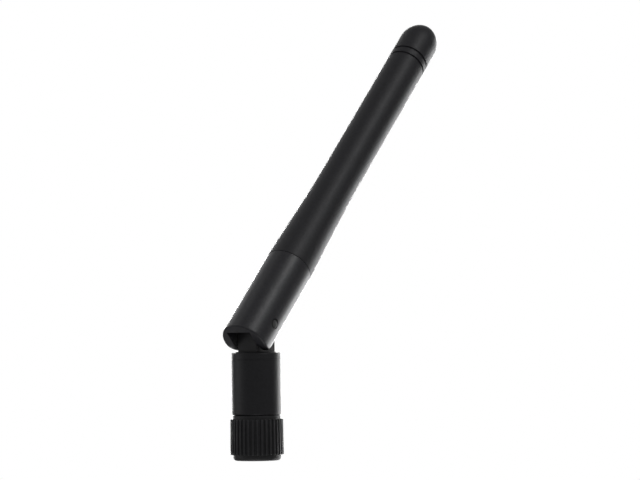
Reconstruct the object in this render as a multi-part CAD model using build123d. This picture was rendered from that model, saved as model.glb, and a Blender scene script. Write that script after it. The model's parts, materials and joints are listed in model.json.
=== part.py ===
from build123d import *
import math
import os

# Tilt-and-swivel omnidirectional antenna for the 2.4 GHz band, with an RP-SMA plug.
#
# Row frame, in millimetres: the origin is the centre of the coupling nut's mouth, +Z runs up
# the stem, the hinge turns about Y, and the arm leans towards +X. The arm's parts are drawn in
# the arm's own frame (origin at the pivot, Z along the arm, X towards its underside) and are
# then tilted into place by tilted().

# ---------------------------------------------------------------- driving dimensions
TILT = 45.0                # rest tilt of the arm away from straight, degrees
PIVOT_Z = 25.44            # hinge axis above the nut's mouth
ARM_TIP = 83.75            # hinge axis to the tip of the radome

STEM_R = 4.6               # swivel sleeve, and the hinge housing that matches it
STEM_BOTTOM = 8.52
STEM_TOP = 20.15
BODY_GAP = 0.1             # running clearance between bodies
SKIN_GAP = 0.02            # assembly clearance between parts that are fixed together

# coupling nut
GRIP_R = 5.0               # over the ribs
GRIP_ROOT_R = 4.575
GRIP_BOTTOM = 1.08
GRIP_TOP = 7.75
COLLAR_R = 4.45            # smooth collars above and below the ribs
COLLAR_TOP = 8.45
RIB_COUNT = 36
RIB_PHASE = 7.6            # where the first rib stands, degrees from +X
MOUTH_ROUND = 0.6
THREAD_R = 2.8             # minor radius of the 1/4-36 UNS internal thread
THREAD_LENGTH = 3.0        # clear thread in front of the ferrule
NUT_BORE_R = 3.12          # behind the thread
INSERT_R = 3.7
INSERT_TOP = 8.2
CLIP_BOTTOM = 6.9
CLIP_TOP = 7.5
CLIP_NUT_R = 3.4           # bottom of the clip groove in the nut
CLIP_BODY_R = 2.6          # bottom of the clip groove in the connector body

# connector body and what it holds
FERRULE_R = 2.295
FERRULE_BORE_R = 2.05
FERRULE_FACE = THREAD_LENGTH
SHOULDER_Z = 6.0
SHOULDER_R = 3.05
SHOULDER_TOP = 8.3
NECK_R = 2.55
FLANGE_R = 2.95
FLANGE_BOTTOM = 10.15
FLANGE_TOP = 11.15
CRIMP_BARREL_R = 0.95
CRIMP_BARREL_TOP = 14.5
DIELECTRIC_BORE_R = 0.5
INSULATOR_TOP = 9.4
CONTACT_R = 0.635
SOCKET_R = 0.47            # takes the jack's 0.9 mm pin
SOCKET_DEPTH = 2.5
SOCKET_SLITS = 4
SOCKET_SLIT = 0.12

# swivel base: sleeve and knuckle
SLEEVE_BORE_R = 3.8
LIP_BORE_R = NECK_R + BODY_GAP
LIP_TOP = FLANGE_BOTTOM - BODY_GAP
PLUG_BOTTOM = 11.55
PLUG_TOP = 20.32
SNAP_Z = 15.1              # middle of the snap bead that locks knuckle into sleeve
SNAP_RISE = 0.12
CRIMP_ROOM_R = 2.0
CRIMP_ROOM_TOP = 18.0
PARTING_Z = 18.85          # fine parting line round the sleeve
PARTING_WIDTH = 0.14
TONGUE_R = 3.7
TONGUE_HALF = 2.14         # half thickness along the hinge axis
TONGUE_BACK = 2.65         # flat back, and the height and radius of the rounded top
TONGUE_CORNER_R = 2.5      # front top corner
CHANNEL_HALF = 1.1         # slot in the tongue that the coax runs in
CHANNEL_BACK = 1.15
BOSS_R = 2.3
BOSS_FACE = 2.55
DETENT_RADIUS = 1.6
DETENT_TRACK = 0.35        # half width of the ring that the detent bump runs in
DETENT_DEPTH = 0.2
DETENT_RISE = 0.2          # how far the housing's bump stands out of its cheek
DETENT_BUMP_R = 0.25
DIMPLE_R = 0.28

# arm: housing, pins and radome
HOUSING_END = 4.95         # flat end below the hinge axis, and radius of the rounded underside
HOUSING_TOP = 15.1
SLOT_HALF = 2.65
SLOT_BACK = 2.8
SLOT_TOP = 3.85
SLOT_CORNER_R = 1.0        # where the slot's back meets its top
SOCKET_BOTTOM = 8.5
SPIGOT_R = 3.9
PIN_R = 0.8
PIN_RECESS_R = 0.97        # counterbore round each pin head
PIN_RECESS_DEPTH = 0.35
PIN_INNER = 1.25           # inner end of each hinge pin, clear of the coax
PIN_OUTER = 4.57
TUBE_R = 3.86              # radome just above its taper
TUBE_END_R = 3.83          # radome where its dome begins
TAPER_TOP = 40.0
DOME_HEIGHT = 4.75
NOSE_R = 3.2
CAVITY_R = 2.95
CAVITY_TOP = 81.9
GROOVES_S = (72.9, 74.55)
GROOVE_WIDTH = 0.33
GROOVE_DEPTH = 0.28

# coax and radiator
COAX_R = 0.9
COAX_WAY_R = 1.1           # way for the coax from the hinge slot into the radome's socket
COAX_BEND_R = 5.0
BRAID_R = 0.66
DIELECTRIC_R = 0.43
CONDUCTOR_R = 0.15
LAYER_GAP = 0.01
CORE_BORE_R = CONDUCTOR_R + LAYER_GAP
GROUND_SLEEVE_R = 2.5
GROUND_SLEEVE_BORE_R = 2.2
GROUND_SLEEVE_S = (20.0, 44.0)
ROD_R = 0.6
ROD_S = (46.0, 71.0)
RING_HEIGHT = 2.0
RING_STARTS_S = (22.0, 39.0)
SPACER_S = (66.0, 68.5)

# how far up each coax layer is stripped, along the arm
JACKET_END_S = 42.0
BRAID_END_S = 44.3
DIELECTRIC_END_S = 45.9
CONDUCTOR_END_S = 47.5
JACKET_START_Z = CRIMP_BARREL_TOP + 0.1
DIELECTRIC_START_Z = INSULATOR_TOP + 0.1
CONDUCTOR_START_Z = INSULATOR_TOP - 1.4


# ---------------------------------------------------------------- helpers
def turned(points):
    """A solid of revolution about Z from a closed outline of (radius, height) points."""
    outline = make_face(Polyline(*points, close=True))
    return revolve(Plane.XZ * outline, axis=Axis.Z)


def tube(outer, inner, low, high):
    """A plain ring or tube about Z."""
    return turned([(inner, low), (outer, low), (outer, high), (inner, high)])


def rod(radius, low, high):
    """A plain cylinder about Z."""
    return Pos(0, 0, (low + high) / 2) * Cylinder(radius, high - low)


def cross_rod(radius, low, high, height=0.0):
    """A cylinder along Y, from low to high, at the given height."""
    return Pos(0, (low + high) / 2, height) * Rot(90, 0, 0) * Cylinder(radius, high - low)


def block(low, high):
    """A box between two opposite corners."""
    centre = [(a + b) / 2 for a, b in zip(low, high)]
    size = [b - a for a, b in zip(low, high)]
    return Pos(*centre) * Box(*size)


def circles(shape, radius, height):
    """The full circular edges of one radius at one height."""
    rings = shape.edges().filter_by(GeomType.CIRCLE)
    return [e for e in rings if abs(e.radius - radius) < 0.01 and abs(e.center().Z - height) < 0.01]


def tilted(shape):
    """An arm part, from the arm's own frame to the row frame at the rest tilt."""
    return Pos(0, 0, PIVOT_Z) * Rot(0, TILT, 0) * shape


# ---------------------------------------------------------------- connector (root body)
def connector_body():
    outline = [
        (FERRULE_BORE_R, FERRULE_FACE),
        (FERRULE_R, FERRULE_FACE),
        (FERRULE_R, SHOULDER_Z),
        (SHOULDER_R, SHOULDER_Z),
        (SHOULDER_R, CLIP_BOTTOM),
        (CLIP_BODY_R, CLIP_BOTTOM),
        (CLIP_BODY_R, CLIP_TOP),
        (SHOULDER_R, CLIP_TOP),
        (SHOULDER_R, SHOULDER_TOP),
        (NECK_R, SHOULDER_TOP),
        (NECK_R, FLANGE_BOTTOM),
        (FLANGE_R, FLANGE_BOTTOM),
        (FLANGE_R, FLANGE_TOP - 0.3),
        (FLANGE_R - 0.3, FLANGE_TOP),
        (CRIMP_BARREL_R, FLANGE_TOP),
        (CRIMP_BARREL_R, CRIMP_BARREL_TOP),
        (DIELECTRIC_BORE_R, CRIMP_BARREL_TOP),
        (DIELECTRIC_BORE_R, INSULATOR_TOP + 0.2),
        (FERRULE_BORE_R, INSULATOR_TOP + 0.2),
    ]
    return turned(outline)


def contact_insulator():
    return tube(FERRULE_BORE_R - LAYER_GAP, CONTACT_R + LAYER_GAP, FERRULE_FACE, INSULATOR_TOP)


def centre_contact():
    contact = rod(CONTACT_R, FERRULE_FACE, INSULATOR_TOP)
    contact -= rod(SOCKET_R, FERRULE_FACE, FERRULE_FACE + SOCKET_DEPTH)
    contact -= rod(CORE_BORE_R, INSULATOR_TOP - 1.5, INSULATOR_TOP)
    slit_top = FERRULE_FACE + 0.8 * SOCKET_DEPTH
    for turn in range(SOCKET_SLITS // 2):
        slit = block((-1, -SOCKET_SLIT / 2, FERRULE_FACE - 1), (1, SOCKET_SLIT / 2, slit_top))
        contact -= Rot(0, 0, 90 * turn + 45) * slit
    return contact


def retaining_ring():
    ring = tube(CLIP_NUT_R - 0.07, CLIP_BODY_R + 0.08, CLIP_BOTTOM + 0.07, CLIP_TOP - 0.07)
    gap = block((0, -0.4, CLIP_BOTTOM), (CLIP_NUT_R, 0.4, CLIP_TOP))
    return ring - gap


def sealing_gasket():
    return tube(2.78, FERRULE_R + SKIN_GAP, SHOULDER_Z - 0.6, SHOULDER_Z)


def crimp_ferrule():
    return tube(1.45, 1.15, FLANGE_TOP + 0.05, CRIMP_BARREL_TOP + 1.4)


def braid_flare():
    """The coax braid combed out over the crimp barrel, under the ferrule."""
    return tube(1.15 - LAYER_GAP, CRIMP_BARREL_R + LAYER_GAP, FLANGE_TOP + 0.1, CRIMP_BARREL_TOP)


def crimp_heat_shrink():
    return tube(1.7, 1.45 + LAYER_GAP, FLANGE_TOP + 0.3, CRIMP_BARREL_TOP + 1.3)


# ---------------------------------------------------------------- coupling nut
def nut_insert():
    outline = [
        (THREAD_R, 0),
        (INSERT_R, 0),
        (INSERT_R, INSERT_TOP),
        (NUT_BORE_R, INSERT_TOP),
        (NUT_BORE_R, CLIP_TOP),
        (CLIP_NUT_R, CLIP_TOP),
        (CLIP_NUT_R, CLIP_BOTTOM),
        (NUT_BORE_R, CLIP_BOTTOM),
        (NUT_BORE_R, THREAD_LENGTH),
        (THREAD_R, THREAD_LENGTH),
    ]
    return turned(outline)


def nut_grip():
    taper = 0.05
    rib_chamfer = 0.14
    outline = [
        (INSERT_R, 0),
        (COLLAR_R, 0),
        (COLLAR_R, GRIP_BOTTOM),
        (GRIP_R - rib_chamfer, GRIP_BOTTOM),
        (GRIP_R, GRIP_BOTTOM + rib_chamfer),
        (GRIP_R - taper, GRIP_TOP - rib_chamfer),
        (GRIP_R - taper - rib_chamfer, GRIP_TOP),
        (COLLAR_R, GRIP_TOP),
        (COLLAR_R, COLLAR_TOP),
        (SHOULDER_R + 0.15, COLLAR_TOP),
        (SHOULDER_R + 0.15, INSERT_TOP),
        (INSERT_R, INSERT_TOP),
    ]
    grip = turned(outline)
    grip = fillet(circles(grip, COLLAR_R, 0), MOUTH_ROUND)
    grip = fillet(circles(grip, COLLAR_R, COLLAR_TOP), 0.15)
    root_half, top_half = 0.17, 0.27
    valley = make_face(
        Polyline(
            (GRIP_ROOT_R, -root_half),
            (GRIP_R + 0.1, -top_half),
            (GRIP_R + 0.1, top_half),
            (GRIP_ROOT_R, root_half),
            close=True,
        )
    )
    valley = Pos(0, 0, GRIP_BOTTOM) * extrude(valley, GRIP_TOP - GRIP_BOTTOM)
    pitch = 360 / RIB_COUNT
    valleys = [Rot(0, 0, RIB_PHASE + pitch * (n + 0.5)) * valley for n in range(RIB_COUNT)]
    return grip - valleys


# ---------------------------------------------------------------- swivel base
def swivel_sleeve():
    snap_r = SLEEVE_BORE_R + SNAP_RISE + 0.05
    outline = [
        (LIP_BORE_R, STEM_BOTTOM),
        (STEM_R, STEM_BOTTOM),
        (STEM_R, STEM_TOP),
        (SLEEVE_BORE_R, STEM_TOP),
        (SLEEVE_BORE_R, SNAP_Z + 0.4),
        (snap_r, SNAP_Z + 0.3),
        (snap_r, SNAP_Z - 0.3),
        (SLEEVE_BORE_R, SNAP_Z - 0.4),
        (SLEEVE_BORE_R, LIP_TOP),
        (LIP_BORE_R, LIP_TOP),
    ]
    sleeve = turned(outline)
    sleeve = fillet(circles(sleeve, STEM_R, STEM_BOTTOM), 0.3)
    sleeve = fillet(circles(sleeve, STEM_R, STEM_TOP), 0.2)
    sleeve = chamfer(circles(sleeve, SLEEVE_BORE_R, STEM_TOP), 0.1)
    half, depth = PARTING_WIDTH / 2, 0.05
    return sleeve - tube(STEM_R + 1, STEM_R - depth, PARTING_Z - half, PARTING_Z + half)


def friction_washer():
    return tube(3.6, 1.8, FLANGE_TOP + 0.05, PLUG_BOTTOM - 0.05)


def hinge_knuckle():
    plug_r = SLEEVE_BORE_R - SKIN_GAP
    plug_outline = [
        (0, PLUG_BOTTOM),
        (plug_r, PLUG_BOTTOM),
        (plug_r, SNAP_Z - 0.3),
        (plug_r + SNAP_RISE, SNAP_Z - 0.2),
        (plug_r + SNAP_RISE, SNAP_Z + 0.2),
        (plug_r, SNAP_Z + 0.3),
        (plug_r, PLUG_TOP),
        (0, PLUG_TOP),
    ]
    plug = turned(plug_outline)
    plug = fillet(circles(plug, plug_r, PLUG_TOP), 0.12)

    # the tongue: a post with two flats and a flat back, rounded over the hinge axis
    foot = PLUG_TOP - 0.5 - PIVOT_Z
    back_mid = TONGUE_BACK * math.sqrt(0.5)
    corner = TONGUE_R - TONGUE_CORNER_R
    shoulder = TONGUE_BACK - TONGUE_CORNER_R
    corner_mid = TONGUE_CORNER_R * math.sqrt(0.5)
    side = make_face(
        [
            Line((-TONGUE_BACK, foot), (-TONGUE_BACK, 0)),
            ThreePointArc((-TONGUE_BACK, 0), (-back_mid, back_mid), (0, TONGUE_BACK)),
            Line((0, TONGUE_BACK), (corner, TONGUE_BACK)),
            ThreePointArc(
                (corner, TONGUE_BACK),
                (corner + corner_mid, shoulder + corner_mid),
                (TONGUE_R, shoulder),
            ),
            Line((TONGUE_R, shoulder), (TONGUE_R, foot)),
            Line((TONGUE_R, foot), (-TONGUE_BACK, foot)),
        ]
    )
    tongue = Pos(0, 0, PIVOT_Z) * extrude(Plane.XZ * side, TONGUE_HALF, both=True)
    tongue &= rod(TONGUE_R, PLUG_TOP - 1, PIVOT_Z + TONGUE_R)
    boss = Pos(0, 0, PIVOT_Z) * cross_rod(BOSS_R, -BOSS_FACE, BOSS_FACE)
    knuckle = plug + tongue + boss

    # ways for the crimp and the coax
    knuckle -= rod(CRIMP_ROOM_R, PLUG_BOTTOM, CRIMP_ROOM_TOP)
    knuckle -= rod(CHANNEL_BACK, CRIMP_ROOM_TOP, PLUG_TOP + 0.6)
    channel_low = (-CHANNEL_BACK, -CHANNEL_HALF, PLUG_TOP + 0.35)
    knuckle -= block(channel_low, (TONGUE_R + 1, CHANNEL_HALF, PIVOT_Z + TONGUE_R))

    # hinge bore, and the detent track and its three dimples on both faces
    knuckle -= cross_rod(PIN_R + 0.05, -BOSS_FACE, BOSS_FACE, PIVOT_Z)
    for way in (-1, 1):
        face, floor = sorted((way * BOSS_FACE, way * (BOSS_FACE - DETENT_DEPTH)))
        track = cross_rod(DETENT_RADIUS + DETENT_TRACK, face, floor, PIVOT_Z)
        track -= cross_rod(DETENT_RADIUS - DETENT_TRACK, face, floor, PIVOT_Z)
        knuckle -= track
        for detent in (0, 45, 90):
            across = DETENT_RADIUS * math.sin(math.radians(detent))
            up = DETENT_RADIUS * math.cos(math.radians(detent))
            dimple_y = way * (BOSS_FACE - DETENT_DEPTH + 0.12)
            knuckle -= Pos(across, dimple_y, PIVOT_Z + up) * Sphere(DIMPLE_R)
    return knuckle


# ---------------------------------------------------------------- arm, in its own frame
def hinge_housing():
    far = STEM_R + 1
    end_arc = HOUSING_END * math.sqrt(0.5)
    side = make_face(
        [
            Line((-far, -HOUSING_END), (0, -HOUSING_END)),
            ThreePointArc((0, -HOUSING_END), (end_arc, -end_arc), (HOUSING_END, 0)),
            Line((HOUSING_END, 0), (HOUSING_END, HOUSING_TOP)),
            Line((HOUSING_END, HOUSING_TOP), (-far, HOUSING_TOP)),
            Line((-far, HOUSING_TOP), (-far, -HOUSING_END)),
        ]
    )
    housing = rod(STEM_R, -HOUSING_END, HOUSING_TOP)
    housing &= extrude(Plane.XZ * side, far, both=True)
    housing = chamfer(circles(housing, STEM_R, HOUSING_TOP), 0.1)

    # round the outer edge of the lower end
    end_edges = [
        e for e in housing.edges() if e.center().Z < -1.5 and e.geom_type != GeomType.LINE
    ]
    housing = fillet(end_edges, 0.3)

    slot = block((-SLOT_BACK, -SLOT_HALF, -HOUSING_END - 1), (far, SLOT_HALF, SLOT_TOP))
    back_corner = slot.edges().filter_by(Axis.Y).sort_by(Axis.Z)[-2:].sort_by(Axis.X)[0]
    housing -= fillet(back_corner, SLOT_CORNER_R)
    housing -= rod(COAX_WAY_R, SLOT_TOP, SOCKET_BOTTOM)
    housing -= rod(SPIGOT_R, SOCKET_BOTTOM, HOUSING_TOP)
    funnel_height = 1.0
    funnel = Cone(COAX_WAY_R + 0.6, COAX_WAY_R, funnel_height)
    housing -= Pos(0, 0, SLOT_TOP + funnel_height / 2) * funnel
    housing -= cross_rod(PIN_R, -far, far)
    for way in (-1, 1):
        outside, floor = sorted((way * far, way * (STEM_R - PIN_RECESS_DEPTH)))
        housing -= cross_rod(PIN_RECESS_R, outside, floor)
        bump_low, bump_high = sorted((way * (SLOT_HALF + 0.3), way * (SLOT_HALF - DETENT_RISE)))
        housing += cross_rod(DETENT_BUMP_R, bump_low, bump_high, DETENT_RADIUS)
    return housing


def hinge_pin(way):
    low, high = sorted((way * PIN_INNER, way * PIN_OUTER))
    pin = cross_rod(PIN_R, low, high)
    ends = pin.edges().filter_by(GeomType.CIRCLE).sort_by(Axis.Y)
    inner = ends[-1] if way < 0 else ends[0]
    pin = chamfer(inner, 0.15)
    ends = pin.edges().filter_by(GeomType.CIRCLE).sort_by(Axis.Y)
    outer = ends[0] if way < 0 else ends[-1]
    return fillet(outer, 0.14)


def radome():
    dome_base = ARM_TIP - DOME_HEIGHT
    spigot_r = SPIGOT_R - SKIN_GAP
    spigot_bottom = SOCKET_BOTTOM + 0.1
    cavity_dome = CAVITY_TOP - CAVITY_R
    floor_r = TUBE_END_R - GROOVE_DEPTH
    ringed = [(TUBE_R, TAPER_TOP)]
    for middle in GROOVES_S:
        low, high = middle - GROOVE_WIDTH / 2, middle + GROOVE_WIDTH / 2
        ringed += [(TUBE_END_R, low), (floor_r, low), (floor_r, high), (TUBE_END_R, high)]
    ringed.append((TUBE_END_R, dome_base))

    # the dome: a nose of radius NOSE_R and a side arc tangent to it and to the tube
    rise = DOME_HEIGHT - NOSE_R
    side_r = (TUBE_END_R**2 + rise**2 - NOSE_R**2) / (2 * (TUBE_END_R - NOSE_R))
    meet = math.degrees(math.atan2(rise, side_r - TUBE_END_R))
    outline = make_face(
        [
            Polyline(
                (CAVITY_R, cavity_dome),
                (CAVITY_R, spigot_bottom),
                (spigot_r, spigot_bottom),
                (spigot_r, HOUSING_TOP),
                (STEM_R - 0.1, HOUSING_TOP),
                (STEM_R, HOUSING_TOP + 0.1),
            ),
            Bezier((STEM_R, HOUSING_TOP + 0.1), (4.5, 20.5), (3.88, 31.0), (TUBE_R, TAPER_TOP)),
            Polyline(*ringed),
            CenterArc((TUBE_END_R - side_r, dome_base), side_r, 0, meet),
            CenterArc((0, ARM_TIP - NOSE_R), NOSE_R, meet, 90 - meet),
            Line((0, ARM_TIP), (0, CAVITY_TOP)),
            CenterArc((0, cavity_dome), CAVITY_R, 0, 90),
        ]
    )
    return revolve(Plane.XZ * outline, axis=Axis.Z)


def ground_sleeve():
    return tube(GROUND_SLEEVE_R, GROUND_SLEEVE_BORE_R, *GROUND_SLEEVE_S)


def sleeve_solder():
    top = GROUND_SLEEVE_S[1]
    return tube(GROUND_SLEEVE_BORE_R - LAYER_GAP, BRAID_R + LAYER_GAP, top - 1.0, top)


def sleeve_ring(start):
    return tube(CAVITY_R - LAYER_GAP, GROUND_SLEEVE_R + LAYER_GAP, start, start + RING_HEIGHT)


def radiator_rod():
    low, high = ROD_S
    return rod(ROD_R, low, high) - rod(CORE_BORE_R, low, low + 1.6)


def rod_spacer():
    return tube(CAVITY_R - LAYER_GAP, ROD_R + LAYER_GAP, *SPACER_S)


def feed_heat_shrink():
    return tube(0.95, ROD_R + LAYER_GAP, GROUND_SLEEVE_S[1] + 0.6, ROD_S[0] + 4.0)


# ---------------------------------------------------------------- coax, in the row frame
def coax_layer(outer, inner, start_z, end_s):
    """One layer of the coax: up the stem, round one bend at the hinge, along the arm."""
    lean = math.radians(TILT)
    end = (end_s * math.sin(lean), 0, PIVOT_Z + end_s * math.cos(lean))
    path = FilletPolyline((0, 0, start_z), (0, 0, PIVOT_Z), end, radius=COAX_BEND_R)
    section = Circle(outer)
    if inner:
        section -= Circle(inner)
    return sweep(Pos(0, 0, start_z) * section, path=path)


# ---------------------------------------------------------------- write every node
parts = {
    "connector_body": connector_body(),
    "contact_insulator": contact_insulator(),
    "centre_contact": centre_contact(),
    "retaining_ring": retaining_ring(),
    "sealing_gasket": sealing_gasket(),
    "braid_flare": braid_flare(),
    "crimp_ferrule": crimp_ferrule(),
    "crimp_heat_shrink": crimp_heat_shrink(),
    "nut_insert": nut_insert(),
    "nut_grip": nut_grip(),
    "swivel_sleeve": swivel_sleeve(),
    "friction_washer": friction_washer(),
    "hinge_knuckle": hinge_knuckle(),
    "hinge_housing": tilted(hinge_housing()),
    "hinge_pin_left": tilted(hinge_pin(-1)),
    "hinge_pin_right": tilted(hinge_pin(1)),
    "radome": tilted(radome()),
    "coax_jacket": coax_layer(COAX_R, BRAID_R + LAYER_GAP, JACKET_START_Z, JACKET_END_S),
    "coax_braid": coax_layer(BRAID_R, DIELECTRIC_R + LAYER_GAP, JACKET_START_Z, BRAID_END_S),
    "coax_dielectric": coax_layer(DIELECTRIC_R, CORE_BORE_R, DIELECTRIC_START_Z, DIELECTRIC_END_S),
    "coax_conductor": coax_layer(CONDUCTOR_R, 0, CONDUCTOR_START_Z, CONDUCTOR_END_S),
    "ground_sleeve": tilted(ground_sleeve()),
    "sleeve_solder": tilted(sleeve_solder()),
    "sleeve_ring_lower": tilted(sleeve_ring(RING_STARTS_S[0])),
    "sleeve_ring_upper": tilted(sleeve_ring(RING_STARTS_S[1])),
    "radiator_rod": tilted(radiator_rod()),
    "feed_heat_shrink": tilted(feed_heat_shrink()),
    "rod_spacer": tilted(rod_spacer()),
}

os.makedirs("parts", exist_ok=True)
for node, shape in parts.items():
    export_step(shape, f"parts/{node}.step")
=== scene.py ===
import json
import math

import bpy
from mathutils import Matrix, Vector


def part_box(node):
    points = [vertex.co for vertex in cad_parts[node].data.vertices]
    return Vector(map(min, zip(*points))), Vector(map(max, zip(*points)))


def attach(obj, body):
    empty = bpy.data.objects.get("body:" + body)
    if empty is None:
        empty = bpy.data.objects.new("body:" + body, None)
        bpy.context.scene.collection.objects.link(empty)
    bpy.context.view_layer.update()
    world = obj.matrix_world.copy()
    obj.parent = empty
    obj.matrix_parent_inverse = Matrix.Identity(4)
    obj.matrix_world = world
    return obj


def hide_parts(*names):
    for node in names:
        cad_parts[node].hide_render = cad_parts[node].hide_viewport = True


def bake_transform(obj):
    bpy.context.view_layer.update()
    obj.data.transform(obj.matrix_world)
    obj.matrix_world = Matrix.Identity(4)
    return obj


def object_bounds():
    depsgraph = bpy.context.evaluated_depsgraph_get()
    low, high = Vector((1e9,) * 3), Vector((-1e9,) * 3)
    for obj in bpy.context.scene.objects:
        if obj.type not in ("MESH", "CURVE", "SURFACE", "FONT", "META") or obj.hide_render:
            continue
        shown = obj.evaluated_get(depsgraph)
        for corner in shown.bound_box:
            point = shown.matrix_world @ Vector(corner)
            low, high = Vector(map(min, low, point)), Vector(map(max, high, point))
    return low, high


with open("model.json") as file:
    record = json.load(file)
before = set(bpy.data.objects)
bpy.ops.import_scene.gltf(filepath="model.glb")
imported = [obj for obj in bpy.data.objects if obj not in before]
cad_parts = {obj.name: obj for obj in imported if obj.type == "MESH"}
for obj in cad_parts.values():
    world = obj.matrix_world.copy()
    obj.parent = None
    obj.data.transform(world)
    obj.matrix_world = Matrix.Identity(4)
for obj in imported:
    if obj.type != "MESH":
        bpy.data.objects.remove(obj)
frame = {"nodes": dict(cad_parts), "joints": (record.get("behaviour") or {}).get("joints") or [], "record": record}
cad_low, cad_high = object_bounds()

# Tilt-and-swivel omnidirectional antenna. Lengths in the mesh code are in millimetres, and
# mesh_object() turns them into the frame's metres. Arm parts are drawn in the arm's own frame
# (origin at the hinge, Z along the arm, X towards its underside) and placed by ARM.
MM = 0.001
nodes = frame["nodes"]
joints = {joint["name"]: joint for joint in frame["joints"]}
tilt_limits = joints["arm_tilt"]["range_deg"]
TILT = -tilt_limits[0]                        # the lower limit is the straight pose
pivot = Vector(joints["arm_tilt"]["pos_m"]) / MM
ARM = Matrix.Translation(pivot) @ Matrix.Rotation(math.radians(TILT), 4, "Y")
UPRIGHT = Matrix.Identity(4)


def box_mm(node):
    """The low and high corners of a CAD node's box, in millimetres."""
    low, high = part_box(node)
    return low / MM, high / MM


# ------------------------------------------------------------------ meshes
def mesh_object(name, points, faces, place, material, body, node, sharp=35):
    """A mesh piece from points in millimetres, placed, shaded, and riding on its body."""
    mesh = bpy.data.meshes.new(name)
    mesh.from_pydata([(place @ Vector(p)) * MM for p in points], [], faces)
    mesh.validate()
    for polygon in mesh.polygons:
        polygon.use_smooth = True
    mesh.set_sharp_from_angle(angle=math.radians(sharp))
    mesh.materials.append(material)
    piece = bpy.data.objects.new(name, mesh)
    bpy.context.scene.collection.objects.link(piece)
    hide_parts(node)
    if body:
        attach(piece, body)
    return piece


def spin(radius, height, turn):
    """A point at a radius and height, turned about Z by a fraction of a turn."""
    return radius * math.cos(math.tau * turn), radius * math.sin(math.tau * turn), height


def ring_faces(rows, count):
    """Quads between successive rings of count points, and from the last ring to the first."""
    faces = []
    for row in range(rows):
        here, there = row * count, (row + 1) % rows * count
        for k in range(count):
            after = (k + 1) % count
            faces.append((here + k, here + after, there + after, there + k))
    return faces


def lathe(profile, count=160):
    """Points and faces of a closed (radius, height) outline turned about Z. The outline goes up
    its outside and down its inside. One that touches the axis starts and ends there, and its
    first and last points become poles."""
    if profile[0][0] > 0:
        points = [spin(r, z, k / count) for r, z in profile for k in range(count)]
        return points, ring_faces(len(profile), count)
    rings = profile[1:-1]
    points = [spin(r, z, k / count) for r, z in rings for k in range(count)]
    faces = ring_faces(len(rings), count)[: (len(rings) - 1) * count]
    last = (len(rings) - 1) * count
    start, end = len(points), len(points) + 1
    points += [(0, 0, profile[0][1]), (0, 0, profile[-1][1])]
    for k in range(count):
        after = (k + 1) % count
        faces.append((start, after, k))
        faces.append((end, last + k, last + after))
    return points, faces


def arc(centre, radius, start, end, steps):
    """Points of a circular arc in the (radius, height) plane, angles in degrees."""
    turns = [math.radians(start + (end - start) * k / steps) for k in range(steps + 1)]
    return [(centre[0] + radius * math.cos(t), centre[1] + radius * math.sin(t)) for t in turns]


def bezier(a, b, c, d, steps):
    """Points of a cubic Bezier curve in the plane."""
    found = []
    for k in range(steps + 1):
        t = k / steps
        weights = ((1 - t) ** 3, 3 * t * (1 - t) ** 2, 3 * t * t * (1 - t), t**3)
        found.append(tuple(sum(w * p[i] for w, p in zip(weights, (a, b, c, d))) for i in (0, 1)))
    return found


# ------------------------------------------------------------------ materials
MOTTLE_MM = 0.55            # moulded plastic: faint blotches
MOTTLE_DEPTH = 3            # times the grain's depth
PATCH_MM = 11.0             # slightly rubbed patches
GRAIN_SWING = 0.06          # how far roughness varies with the grain
PATCH_SWING = 0.03          # and over a patch
TARNISH_MM = 1.6
TARNISH_ROUGH = 0.1         # how much rougher tarnished metal is
TOOL_RING_STRETCH = 0.12    # stretches the noise sideways, so that it runs round as rings
CLOUD_SIZE = 9              # soft stuff: clouds of colour, times the grain's size
SOFT_SWING = 0.05
SOFT_SCATTER_MM = 0.4
WEAVE_MM = 1.1
WEAVE_LEANS = (35, 30)      # degrees about Y and Z, one way and the other
STRAND_DEPTH = 0.03
WEAR_MM = 0.4


def new_material(name):
    """A material with its node tree, its shader and the object's coordinates."""
    material = bpy.data.materials.new(name)
    material.use_nodes = True
    tree = material.node_tree
    shader = tree.nodes["Principled BSDF"]
    coords = tree.nodes.new("ShaderNodeTexCoord")
    return material, tree, shader, coords.outputs["Object"]


def noise(tree, vector, size_mm, detail=2.0, rough=0.5):
    """A noise texture whose features are about size_mm across."""
    node = tree.nodes.new("ShaderNodeTexNoise")
    node.inputs["Scale"].default_value = 1 / (size_mm * MM)
    node.inputs["Detail"].default_value = detail
    node.inputs["Roughness"].default_value = rough
    tree.links.new(vector, node.inputs["Vector"])
    return node.outputs["Fac"]


def spread(tree, factor, low, high, from_low=0.3, from_high=0.7):
    """Maps a noise factor to a range of values."""
    node = tree.nodes.new("ShaderNodeMapRange")
    node.inputs["From Min"].default_value = from_low
    node.inputs["From Max"].default_value = from_high
    node.inputs["To Min"].default_value = low
    node.inputs["To Max"].default_value = high
    tree.links.new(factor, node.inputs["Value"])
    return node.outputs["Result"]


def between(tree, factor, low, high):
    """Mixes two colours by a factor."""
    node = tree.nodes.new("ShaderNodeMix")
    node.data_type = "RGBA"
    node.inputs["A"].default_value = (*low, 1)
    node.inputs["B"].default_value = (*high, 1)
    tree.links.new(factor, node.inputs["Factor"])
    return node.outputs["Result"]


def bump(tree, shader, heights):
    """Chains bump maps: each is (height socket, depth in millimetres)."""
    normal = None
    for height, depth in heights:
        node = tree.nodes.new("ShaderNodeBump")
        node.inputs["Strength"].default_value = 1.0
        node.inputs["Distance"].default_value = depth * MM
        tree.links.new(height, node.inputs["Height"])
        if normal:
            tree.links.new(normal, node.inputs["Normal"])
        normal = node.outputs["Normal"]
    tree.links.new(normal, shader.inputs["Normal"])


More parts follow.
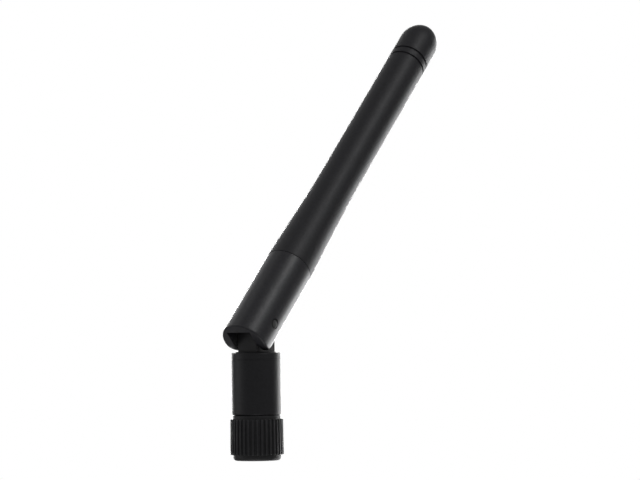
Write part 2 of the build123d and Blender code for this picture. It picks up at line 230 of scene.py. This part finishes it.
def moulded_plastic(name, dark, light, rough, grain_mm=0.2, grain_depth=0.006, specular=0.5):
    """Dark moulded surface: spark-eroded grain, faint mottling and slightly rubbed patches."""
    material, tree, shader, place = new_material(name)
    grain = noise(tree, place, grain_mm, 3.0, 0.6)
    mottle = noise(tree, place, MOTTLE_MM, 3.0, 0.6)
    patches = noise(tree, place, PATCH_MM, 2.0)
    tint = between(tree, spread(tree, mottle, 0, 1), dark, light)
    tree.links.new(tint, shader.inputs["Base Color"])
    add = tree.nodes.new("ShaderNodeMath")
    add.operation = "ADD"
    gloss = spread(tree, grain, rough - GRAIN_SWING, rough + GRAIN_SWING)
    tree.links.new(gloss, add.inputs[0])
    tree.links.new(spread(tree, patches, -PATCH_SWING, PATCH_SWING), add.inputs[1])
    tree.links.new(add.outputs[0], shader.inputs["Roughness"])
    shader.inputs["Specular IOR Level"].default_value = specular
    bump(tree, shader, [(grain, grain_depth), (mottle, grain_depth * MOTTLE_DEPTH)])
    return material


def metal(name, dark, light, rough, line_mm=0.05, depth=0.002):
    """Turned or drawn metal: fine tool rings along Z, tarnish in patches."""
    material, tree, shader, place = new_material(name)
    shader.inputs["Metallic"].default_value = 1.0
    stretch = tree.nodes.new("ShaderNodeMapping")
    stretch.inputs["Scale"].default_value = (TOOL_RING_STRETCH, TOOL_RING_STRETCH, 1.0)
    tree.links.new(place, stretch.inputs["Vector"])
    rings = noise(tree, stretch.outputs["Vector"], line_mm, 2.0)
    tarnish = noise(tree, place, TARNISH_MM, 4.0, 0.6)
    tint = between(tree, spread(tree, tarnish, 0, 1), dark, light)
    tree.links.new(tint, shader.inputs["Base Color"])
    gloss = spread(tree, tarnish, rough + TARNISH_ROUGH, rough)
    tree.links.new(gloss, shader.inputs["Roughness"])
    bump(tree, shader, [(rings, depth)])
    return material


def soft_material(name, dark, light, rough, grain_mm, depth, subsurface=0.0):
    """PTFE, rubber and other soft stuff: a waxy or grainy skin with slight variation."""
    material, tree, shader, place = new_material(name)
    grain = noise(tree, place, grain_mm, 4.0, 0.55)
    cloud = noise(tree, place, grain_mm * CLOUD_SIZE, 2.0)
    tint = between(tree, spread(tree, cloud, 0, 1), dark, light)
    tree.links.new(tint, shader.inputs["Base Color"])
    gloss = spread(tree, grain, rough - SOFT_SWING, rough + SOFT_SWING)
    tree.links.new(gloss, shader.inputs["Roughness"])
    shader.inputs["Subsurface Weight"].default_value = subsurface
    shader.inputs["Subsurface Scale"].default_value = SOFT_SCATTER_MM * MM
    bump(tree, shader, [(grain, depth)])
    return material


def woven_copper(name):
    """Tinned braid: two crossed sets of fine strands."""
    material, tree, shader, place = new_material(name)
    shader.inputs["Metallic"].default_value = 1.0
    heights = []
    about_y, about_z = WEAVE_LEANS
    for way in (-1, 1):
        lean = tree.nodes.new("ShaderNodeMapping")
        turns = (0, math.radians(about_y * way), math.radians(about_z * way))
        lean.inputs["Rotation"].default_value = turns
        tree.links.new(place, lean.inputs["Vector"])
        wave = tree.nodes.new("ShaderNodeTexWave")
        wave.inputs["Scale"].default_value = 1 / (WEAVE_MM * MM)
        wave.inputs["Distortion"].default_value = 0.4
        tree.links.new(lean.outputs["Vector"], wave.inputs["Vector"])
        heights.append((wave.outputs["Fac"], STRAND_DEPTH))
    wear = noise(tree, place, WEAR_MM, 3.0)
    tint = between(tree, spread(tree, wear, 0, 1), (0.50, 0.46, 0.41), (0.72, 0.69, 0.64))
    tree.links.new(tint, shader.inputs["Base Color"])
    tree.links.new(spread(tree, wear, 0.28, 0.42), shader.inputs["Roughness"])
    bump(tree, shader, heights)
    return material


MATERIALS = {
    "radome_plastic": moulded_plastic(
        "radome plastic", (0.010, 0.010, 0.0125), (0.018, 0.018, 0.022), 0.51, specular=0.45
    ),
    "housing_plastic": moulded_plastic(
        "housing plastic", (0.014, 0.014, 0.017), (0.025, 0.025, 0.030), 0.40
    ),
    "stem_plastic": moulded_plastic(
        "stem plastic", (0.0055, 0.0055, 0.0075), (0.0105, 0.0105, 0.0135), 0.48
    ),
    "grip_plastic": moulded_plastic(
        "grip plastic", (0.016, 0.016, 0.018), (0.025, 0.025, 0.0275), 0.55, 0.16, 0.003, 0.42
    ),
    "black_steel": moulded_plastic(
        "black pin steel", (0.014, 0.014, 0.015), (0.026, 0.026, 0.027), 0.36, 0.1, 0.002
    ),
    "gold_brass": metal("gold plated brass", (0.70, 0.47, 0.15), (0.86, 0.62, 0.24), 0.16),
    "plain_brass": metal("drawn brass", (0.50, 0.36, 0.15), (0.68, 0.50, 0.22), 0.30, 0.08, 0.003),
    "spring_steel": metal("spring steel", (0.36, 0.36, 0.37), (0.52, 0.52, 0.53), 0.26),
    "solder": metal("solder", (0.42, 0.42, 0.43), (0.62, 0.62, 0.63), 0.34, 0.3, 0.02),
    "tinned_copper": woven_copper("tinned copper braid"),
    "ptfe": soft_material("PTFE", (0.80, 0.80, 0.78), (0.88, 0.88, 0.86), 0.42, 0.2, 0.003, 0.3),
    "gasket_rubber": soft_material(
        "silicone gasket", (0.20, 0.030, 0.018), (0.28, 0.045, 0.025), 0.55, 0.15, 0.004, 0.1
    ),
    "heat_shrink": soft_material(
        "black heat-shrink", (0.012, 0.012, 0.012), (0.022, 0.022, 0.022), 0.38, 0.4, 0.01
    ),
    "coax_jacket": soft_material(
        "coax jacket", (0.010, 0.010, 0.010), (0.016, 0.016, 0.016), 0.34, 0.25, 0.003
    ),
}

slot_of = {entry["node"]: entry["material_slot"] for entry in frame["record"]["subparts"]}
for node_name, node_object in nodes.items():
    node_object.data.materials.clear()
    node_object.data.materials.append(MATERIALS[slot_of[node_name]])


# ------------------------------------------------------------------ radome
HOUSING_TOP = 15.1
SPIGOT_BOTTOM = 8.6
SPIGOT_R = 3.88
SEAM = 0.1
TUBE_R = 3.86
TUBE_END_R = 3.83
TAPER_TOP = 40.0
TAPER_LOW_BEND = (4.5, 20.5)     # radius and height of the taper curve's two control points
TAPER_HIGH_BEND = (3.88, 31.0)
TUBE_STEP = 8.0                  # height between the rings of points up the tube
DOME_HEIGHT = 4.75
NOSE_R = 3.2
ARM_TIP = 83.75
CAVITY_R = 2.95
CAVITY_TOP = 81.9
GROOVES_S = (72.9, 74.55)
GROOVE_WIDTH = 0.4
GROOVE_DEPTH = 0.24
GROOVE_EDGE = 0.06
SPIGOT_EDGE = 0.15

sleeve_low, sleeve_high = box_mm("swivel_sleeve")
STEM_R = (sleeve_high.x - sleeve_low.x) / 2


def radome():
    """The tapered cover: down its cavity, then up its outside from the spigot to the tip."""
    outside = [(SPIGOT_R - SPIGOT_EDGE, SPIGOT_BOTTOM), (SPIGOT_R, SPIGOT_BOTTOM + SPIGOT_EDGE)]
    outside += [(SPIGOT_R, HOUSING_TOP), (STEM_R - SEAM, HOUSING_TOP)]
    taper_low, taper_high = (STEM_R, HOUSING_TOP + SEAM), (TUBE_R, TAPER_TOP)
    outside += bezier(taper_low, TAPER_LOW_BEND, TAPER_HIGH_BEND, taper_high, 30)
    narrowing = TUBE_R - TUBE_END_R
    outside += [(TUBE_R - narrowing * k / 4, TAPER_TOP + TUBE_STEP * k) for k in (1, 2, 3)]
    floor_r = TUBE_END_R - GROOVE_DEPTH
    for centre in GROOVES_S:
        low, high = centre - GROOVE_WIDTH / 2, centre + GROOVE_WIDTH / 2
        outside += [(TUBE_END_R, low - GROOVE_EDGE), (TUBE_END_R - GROOVE_EDGE, low)]
        outside += [(floor_r, low + GROOVE_EDGE / 2), (floor_r, high - GROOVE_EDGE / 2)]
        outside += [(TUBE_END_R - GROOVE_EDGE, high), (TUBE_END_R, high + GROOVE_EDGE)]
    dome_base = ARM_TIP - DOME_HEIGHT
    rise = DOME_HEIGHT - NOSE_R
    side_r = (TUBE_END_R**2 + rise**2 - NOSE_R**2) / (2 * (TUBE_END_R - NOSE_R))
    meet = math.degrees(math.atan2(rise, side_r - TUBE_END_R))
    outside += arc((TUBE_END_R - side_r, dome_base), side_r, 0, meet, 12)
    outside += arc((0, ARM_TIP - NOSE_R), NOSE_R, meet, 90, 14)[1:-1]
    inside = [(CAVITY_R, SPIGOT_BOTTOM)]
    inside += arc((0, CAVITY_TOP - CAVITY_R), CAVITY_R, 0, 90, 12)[:-1]
    profile = [(0, CAVITY_TOP)] + inside[::-1] + outside + [(0, ARM_TIP)]
    points, faces = lathe(profile)
    mesh_object(
        "radome_shell", points, faces, ARM, MATERIALS["radome_plastic"],
        "arm", "radome",
    )


radome()


# ------------------------------------------------------------------ swivel sleeve
LIP_BORE_R = 2.65
LIP_TOP = 10.05
SLEEVE_BORE_R = 3.8
SNAP_Z = 15.1
SNAP_R = SLEEVE_BORE_R + 0.17
SNAP_FLOOR = 0.3            # half the snap groove's height at its floor
SNAP_MOUTH = 0.4            # and at its mouth
PARTING_Z = 18.85
PARTING_WIDTH = 0.14
PARTING_DEPTH = 0.05


def swivel_sleeve():
    """The stem's sleeve, with rounded ends, a parting line and the snap groove inside."""
    bottom, top = sleeve_low.z, sleeve_high.z
    low_round, top_round, lip = 0.3, 0.2, 0.1
    profile = arc((STEM_R - low_round, bottom + low_round), low_round, -90, 0, 8)
    for side, depth in ((-1, 0), (-0.4, PARTING_DEPTH), (0.4, PARTING_DEPTH), (1, 0)):
        profile.append((STEM_R - depth, PARTING_Z + side * PARTING_WIDTH / 2))
    profile += arc((STEM_R - top_round, top - top_round), top_round, 0, 90, 8)
    profile += [(SLEEVE_BORE_R + lip, top), (SLEEVE_BORE_R, top - lip)]
    profile += [(SLEEVE_BORE_R, SNAP_Z + SNAP_MOUTH), (SNAP_R, SNAP_Z + SNAP_FLOOR)]
    profile += [(SNAP_R, SNAP_Z - SNAP_FLOOR), (SLEEVE_BORE_R, SNAP_Z - SNAP_MOUTH)]
    profile += [(SLEEVE_BORE_R, LIP_TOP), (LIP_BORE_R, LIP_TOP), (LIP_BORE_R, bottom)]
    points, faces = lathe(profile, 192)
    mesh_object(
        "swivel_sleeve_shell", points, faces, UPRIGHT, MATERIALS["stem_plastic"],
        "swivel_base", "swivel_sleeve",
    )


swivel_sleeve()


# ------------------------------------------------------------------ coupling nut
RIB_COUNT = 36
RIB_PHASE = 7.6             # where the first rib stands, degrees from +X
# one side of a rib's section: degrees from its middle, share of its height
RIB_SECTION = (
    (0, 1), (1.2, 1), (1.9, 0.98), (2.2, 0.9), (2.5, 0.62), (2.8, 0.26), (3.15, 0.07), (3.7, 0),
)
# a rib's rounded end, from the end inwards: shares of RIB_EDGE off its top and along it
RIB_END = ((1, 0), (0.35, 0.35), (0, 1))
RIB_EDGE = 0.14
RIB_TAPER = 0.05            # how much lower the ribs stand at their upper end
RIB_FOOT = 0.05             # how far a rib stands out at its very end
GRIP_ROOT_R = 4.64
GRIP_BOTTOM = 1.08
GRIP_TOP = 7.75
COLLAR_R = 4.45
COLLAR_TOP = 8.45
COLLAR_ROUND = 0.15
CREASE = 0.02               # size of the crease between the collars and the ribs
MOUTH_ROUND = 0.6
INSERT_R = 3.7
INSERT_TOP = 8.2
MOUTH_GAP = 0.02            # between the grip and the insert
GRIP_BORE_R = 3.2           # top opening of the grip
RIM_R = 3.9                 # a low inner rim closes the gap below the sleeve
RIM_RISE = 0.05
RIM_SLOPE = 0.04

grip_low, grip_high = box_mm("nut_grip")
GRIP_R = (grip_high.y - grip_low.y) / 2 - 0.01     # just inside the CAD grip


def nut_grip():
    """The nut's plastic grip: collars at both ends and 36 upright ribs with rounded edges."""
    # each row: radius between the ribs, radius on top of them, height
    bore_r = INSERT_R + MOUTH_GAP
    foot = (GRIP_ROOT_R - CREASE, GRIP_ROOT_R + RIB_FOOT)
    rows = [(bore_r, bore_r, INSERT_TOP), (bore_r, bore_r, 0)]
    mouth = arc((COLLAR_R - MOUTH_ROUND, MOUTH_ROUND), MOUTH_ROUND, -90, 0, 10)
    rows += [(r, r, z) for r, z in mouth]
    rows += [(COLLAR_R, COLLAR_R, GRIP_BOTTOM - CREASE), (*foot, GRIP_BOTTOM)]
    for cut, rise in RIB_END:
        height = GRIP_BOTTOM + CREASE + RIB_EDGE * rise
        rows.append((GRIP_ROOT_R, GRIP_R - RIB_EDGE * cut, height))
    for cut, rise in RIB_END[::-1]:
        height = GRIP_TOP - CREASE - RIB_EDGE * rise
        rows.append((GRIP_ROOT_R, GRIP_R - RIB_TAPER - RIB_EDGE * cut, height))
    rows += [(*foot, GRIP_TOP), (COLLAR_R, COLLAR_R, GRIP_TOP + CREASE)]
    shoulder = arc((COLLAR_R - COLLAR_ROUND, COLLAR_TOP - COLLAR_ROUND), COLLAR_ROUND, 0, 90, 5)
    rows += [(r, r, z) for r, z in shoulder]
    rim_top = COLLAR_TOP + RIM_RISE
    rows += [(RIM_R + RIM_SLOPE, RIM_R + RIM_SLOPE, COLLAR_TOP), (RIM_R, RIM_R, rim_top)]
    rows += [(GRIP_BORE_R, GRIP_BORE_R, rim_top), (GRIP_BORE_R, GRIP_BORE_R, INSERT_TOP)]

    section = [(-offset, share) for offset, share in RIB_SECTION[:0:-1]] + list(RIB_SECTION)
    around = []
    for rib in range(RIB_COUNT):
        for offset, share in section:
            around.append((math.radians(RIB_PHASE + 360 / RIB_COUNT * rib + offset), share))
    points = []
    for root, top, z in rows:
        for angle, share in around:
            radius = root + (top - root) * share
            points.append((radius * math.cos(angle), radius * math.sin(angle), z))
    faces = ring_faces(len(rows), len(around))
    mesh_object(
        "nut_grip_ribbed", points, faces, UPRIGHT, MATERIALS["grip_plastic"],
        "coupling_nut", "nut_grip", 40,
    )


THREAD_PITCH = 25.4 / 36    # 1/4-36 UNS
THREAD_MINOR_R = 2.8
THREAD_MAJOR_R = 3.17
THREAD_LENGTH = 3.0
THREAD_STEPS = 12           # rings of points in one pitch
THREAD_FLAT = 0.15          # share of half a pitch that the crest takes, and the root
THREAD_FLANK = 0.7          # share that the flank takes
LEAD_IN = 0.1
RUN_OUT_SLOPE = 1.5
RUN_OUT_FLAT = 0.05
NUT_BORE_R = 3.12
CLIP_BOTTOM = 6.9
CLIP_TOP = 7.5
CLIP_NUT_R = 3.4
INSERT_CHAMFER = 0.08
INSERT_COUNT = 144          # points round the insert


def thread_radius(height, turn):
    """Radius of the inside thread: a flat crest and root joined by straight flanks, with a
    lead-in cone at the mouth and a run-out into the rear bore."""
    phase = (height / THREAD_PITCH - turn) % 1.0
    wave = 2 * abs(phase - 0.5)
    depth = min(max((wave - THREAD_FLAT) / THREAD_FLANK, 0), 1)
    radius = THREAD_MINOR_R + (THREAD_MAJOR_R - THREAD_MINOR_R) * depth
    lead_in = THREAD_MAJOR_R + LEAD_IN - height
    run_out = NUT_BORE_R - max(THREAD_LENGTH - height - RUN_OUT_FLAT, 0) * RUN_OUT_SLOPE
    return max(radius, lead_in, min(run_out, NUT_BORE_R))


def nut_insert():
    """The gold-plated brass insert, with its inside thread and the retaining ring's groove."""
    count = INSERT_COUNT
    rings = round(THREAD_LENGTH / THREAD_PITCH * THREAD_STEPS)
    points = []
    for ring in range(rings + 1):
        height = THREAD_LENGTH * ring / rings
        for k in range(count):
            points.append(spin(thread_radius(height, k / count), height, k / count))
    plain = [(NUT_BORE_R, CLIP_BOTTOM), (CLIP_NUT_R, CLIP_BOTTOM), (CLIP_NUT_R, CLIP_TOP)]
    plain += [(NUT_BORE_R, CLIP_TOP), (NUT_BORE_R, INSERT_TOP), (INSERT_R, INSERT_TOP)]
    plain += [(INSERT_R, INSERT_CHAMFER), (INSERT_R - INSERT_CHAMFER, 0)]
    for radius, height in plain:
        points += [spin(radius, height, k / count) for k in range(count)]
    # this outline goes up the inside first, so its faces are turned over
    faces = [face[::-1] for face in ring_faces(rings + 1 + len(plain), count)]
    mesh_object(
        "nut_insert_threaded", points, faces, UPRIGHT, MATERIALS["gold_brass"],
        "coupling_nut", "nut_insert", 30,
    )


nut_grip()
nut_insert()


# ------------------------------------------------------------------ hinge pins
PIN_R = 0.8
PIN_INNER = 1.25
PIN_OUTER = 4.57
PIN_EDGE = 0.14
PIN_CROWN = 0.03


def hinge_pin(name, way):
    """A short pin with a rounded, faintly crowned head, lying across the hinge."""
    head, flat_r = PIN_OUTER - PIN_CROWN, PIN_R - PIN_EDGE
    profile = [(0, PIN_INNER), (flat_r, PIN_INNER), (PIN_R, PIN_INNER + PIN_EDGE)]
    profile += arc((flat_r, head - PIN_EDGE), PIN_EDGE, 0, 80, 6)
    profile += [(flat_r * (1 - k / 4), head + PIN_CROWN * (k / 4)) for k in (1, 2, 3)]
    profile.append((0, PIN_OUTER))
    points, faces = lathe(profile, 64)
    place = ARM @ Matrix.Rotation(math.radians(-90 * way), 4, "X")
    mesh_object(
        name + "_turned", points, faces, place, MATERIALS["black_steel"],
        "arm", name,
    )


hinge_pin("hinge_pin_left", -1)
hinge_pin("hinge_pin_right", 1)


# ------------------------------------------------------------------ coax through the hinge
COAX_BEND_R = 5.0
# node, outer and inner radius, start up the stem, end along the arm
COAX_LAYERS = (
    ("coax_jacket", 0.9, 0.67, 14.6, 42.0),
    ("coax_braid", 0.66, 0.44, 14.6, 44.3),
    ("coax_dielectric", 0.43, 0.16, 9.5, 45.9),
    ("coax_conductor", 0.15, 0.0, 8.0, 47.5),
)
COAX_COUNT = 32             # points round the coax
BEND_STEPS = 24             # rings of points round the bend
STRAIGHT_STEPS = 6          # and along the arm


def coax_route(start_z, end_s):
    """Points and directions (as a lean in radians) up the stem, round the bend, along the arm."""
    lean = math.radians(TILT)
    reach = COAX_BEND_R * math.tan(lean / 2)
    route = [(0, z, 0) for z in (start_z, (start_z + pivot.z - reach) / 2)]
    for k in range(BEND_STEPS + 1):
        turn = lean * k / BEND_STEPS
        x = COAX_BEND_R * (1 - math.cos(turn))
        route.append((x, pivot.z - reach + COAX_BEND_R * math.sin(turn), turn))
    for k in range(1, STRAIGHT_STEPS + 1):
        along = reach + (end_s - reach) * k / STRAIGHT_STEPS
        route.append((along * math.sin(lean), pivot.z + along * math.cos(lean), lean))
    return route


def coax_layer(node, outer, inner, start_z, end_s):
    """One layer of the coax, a tube or the solid core, bent round the hinge at the arm's tilt."""
    count = COAX_COUNT
    route = coax_route(start_z, end_s)
    rings = [(outer, *stop) for stop in route]
    if inner:
        rings += [(inner, *stop) for stop in route[::-1]]
    points = []
    for radius, x, z, lean in rings:
        for k in range(count):
            across, aside, _ = spin(radius, 0, k / count)
            points.append((x + across * math.cos(lean), aside, z - across * math.sin(lean)))
    faces = ring_faces(len(rings), count)
    if not inner:
        faces = faces[: (len(rings) - 1) * count]
        faces.append(tuple(range(count))[::-1])
        faces.append(tuple(range(len(points) - count, len(points))))
    slot = slot_of[node]
    layer = mesh_object(
        node + "_flexing", points, faces, UPRIGHT, MATERIALS[slot], None, node
    )
    lean = math.radians(TILT)
    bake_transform(layer)


for facts in COAX_LAYERS:
    coax_layer(*facts)


# ------------------------------------------------------------------ camera
def look(position, target, roll=0.0):
    """A rotation that looks from position to target along -Z, rolled about the line of sight."""
    aim = (Vector(target) - Vector(position)).to_track_quat("-Z", "Y").to_matrix().to_4x4()
    return Matrix.Translation(position) @ aim @ Matrix.Rotation(roll, 4, "Z")


CAMERA_DISTANCE = 600.1     # from the stem's axis, horizontally
CAMERA_SIDE = 216.63        # where the camera stands round the stem, degrees from +X
CAMERA_HEIGHT = 24.36
HEADING = 35.457            # level direction of view, degrees from +X
PITCH = 1.595
ROLL = -0.77
LENS = 180.19               # on a 36 mm sensor


def make_camera():
    """Places the camera and returns the direction it looks in."""
    side = math.radians(CAMERA_SIDE)
    spot = Vector((math.cos(side), math.sin(side), 0)) * CAMERA_DISTANCE
    spot.z = CAMERA_HEIGHT
    heading, pitch = math.radians(HEADING), math.radians(PITCH)
    level = Vector((math.cos(heading), math.sin(heading), 0)) * math.cos(pitch)
    ahead = level + Vector((0, 0, math.sin(pitch)))
    data = bpy.data.cameras.new("camera")
    data.sensor_width = 36.0
    data.lens = LENS
    data.clip_start, data.clip_end = 0.01, 100
    camera = bpy.data.objects.new("camera", data)
    bpy.context.scene.collection.objects.link(camera)
    camera.matrix_world = look(spot * MM, (spot + ahead) * MM, math.radians(ROLL))
    bpy.context.scene.camera = camera
    return ahead


ahead = make_camera()
level = Vector((ahead.x, ahead.y, 0)).normalized()
right = Vector((level.y, -level.x, 0))
up = Vector((0, 0, 1))
middle = (cad_low + cad_high) / 2


# ------------------------------------------------------------------ lights
LIGHT_DISTANCE = 0.8        # metres from the middle of the object
WIDE = 0.38                 # sides of the softboxes, metres
NARROW = 0.27

# name, bearing from the camera's side (90 is to the right, 180 behind), elevation, side, watts
SOFTBOXES = (
    ("backdrop", 180, 0, WIDE, 11.0),
    ("backdrop_high", 180, 25, WIDE, 0.5),
    ("backdrop_foot", 180, -50, WIDE, 0.8),
    ("rim_right", 140, 0, WIDE, 2.0),
    ("rim_low_right", 140, -25, WIDE, 1.9),
    ("key", 56, 53, NARROW, 1.1),
    ("fill_right", 60, 25, WIDE, 0.15),
    ("top_front", 0, 50, WIDE, 0.3),
    ("low_front", 0, -75, WIDE, 1.3),
    ("side_left", -90, 0, WIDE, 0.35),
    ("top_left", -90, 50, WIDE, 0.4),
    ("rim_left", -140, 25, WIDE, 0.35),
    ("rim_far_left", -160, 0, WIDE, 2.0),
)
ROOM_GLOW = 0.21            # how strongly the white room lights the object


def softbox(name, bearing, elevation, side, power):
    """A soft square light aimed at the object, never seen itself."""
    data = bpy.data.lights.new(name, "AREA")
    data.shape = "SQUARE"
    data.size = side
    data.energy = power
    lamp = bpy.data.objects.new(name, data)
    bpy.context.scene.collection.objects.link(lamp)
    bearing, elevation = math.radians(bearing), math.radians(elevation)
    aside = right * math.sin(bearing) - level * math.cos(bearing)
    spot = middle + (aside * math.cos(elevation) + up * math.sin(elevation)) * LIGHT_DISTANCE
    lamp.matrix_world = look(spot, middle)
    lamp.visible_camera = False


for box in SOFTBOXES:
    softbox(*box)


# ------------------------------------------------------------------ floor and surroundings
FLOOR_HALF = 3.0            # metres
FLOOR_GAP = 0.2             # millimetres below the nut's mouth


def white_to_camera(tree, kind, strength):
    """Pure white where the camera sees it, and a light of that strength to everything else."""
    tree.nodes.clear()
    mix = tree.nodes.new("ShaderNodeMixShader")
    path = tree.nodes.new("ShaderNodeLightPath")
    tree.links.new(path.outputs["Is Camera Ray"], mix.inputs[0])
    for socket, power in ((1, strength), (2, 1.0)):
        glow = tree.nodes.new(kind)
        glow.inputs["Color"].default_value = (1, 1, 1, 1)
        glow.inputs["Strength"].default_value = power
        tree.links.new(glow.outputs[0], mix.inputs[socket])
    is_world = kind == "ShaderNodeBackground"
    end = tree.nodes.new("ShaderNodeOutputWorld" if is_world else "ShaderNodeOutputMaterial")
    tree.links.new(mix.outputs[0], end.inputs["Surface"])


def make_floor():
    """A plain white floor that adds no light or reflection of its own."""
    size = FLOOR_HALF
    mesh = bpy.data.meshes.new("floor")
    corners = [(-size, -size, 0), (size, -size, 0), (size, size, 0), (-size, size, 0)]
    mesh.from_pydata(corners, [], [(0, 1, 2, 3)])
    floor = bpy.data.objects.new("floor", mesh)
    bpy.context.scene.collection.objects.link(floor)
    floor.location.z = cad_low.z - FLOOR_GAP * MM
    material = bpy.data.materials.new("pale floor")
    material.use_nodes = True
    mesh.materials.append(material)
    white_to_camera(material.node_tree, "ShaderNodeEmission", 0.0)
    floor.visible_glossy = False
    floor.visible_diffuse = False
    floor.visible_shadow = False


make_floor()

world = bpy.data.worlds.new("studio")
bpy.context.scene.world = world
world.use_nodes = True
white_to_camera(world.node_tree, "ShaderNodeBackground", ROOM_GLOW)
bpy.context.scene.view_settings.view_transform = "Standard"
